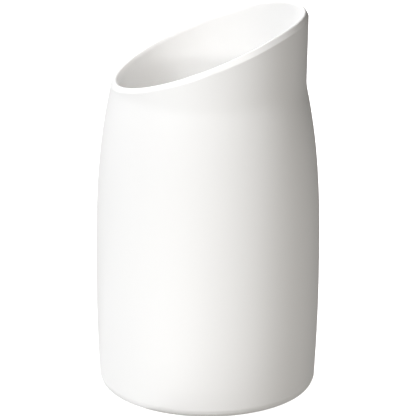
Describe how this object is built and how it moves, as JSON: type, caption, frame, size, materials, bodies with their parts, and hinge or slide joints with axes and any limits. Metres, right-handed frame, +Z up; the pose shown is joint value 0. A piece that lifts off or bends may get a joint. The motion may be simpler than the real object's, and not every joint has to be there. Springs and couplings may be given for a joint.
{
  "type": "pen holder cup",
  "caption": "Round desk cup for pens with a swelling belly, a waisted neck and a slanted mouth, on a soft grip pad.",
  "frame": {"origin": "centre of the underside, on the desk", "axes": "+Z up along the cup's axis, +X towards the highest point of the mouth, +Y across the mouth"},
  "size_m": [0.072, 0.072, 0.125],
  "materials": {
    "shell": "satin gloss, moulded",
    "plug": "fine matt, moulded",
    "pad": "matt, moulded"
  },
  "bodies": {
    "root": {"cup_shell": "shell", "floor_plug": "plug", "grip_pad": "pad"}
  },
  "joints": []
}
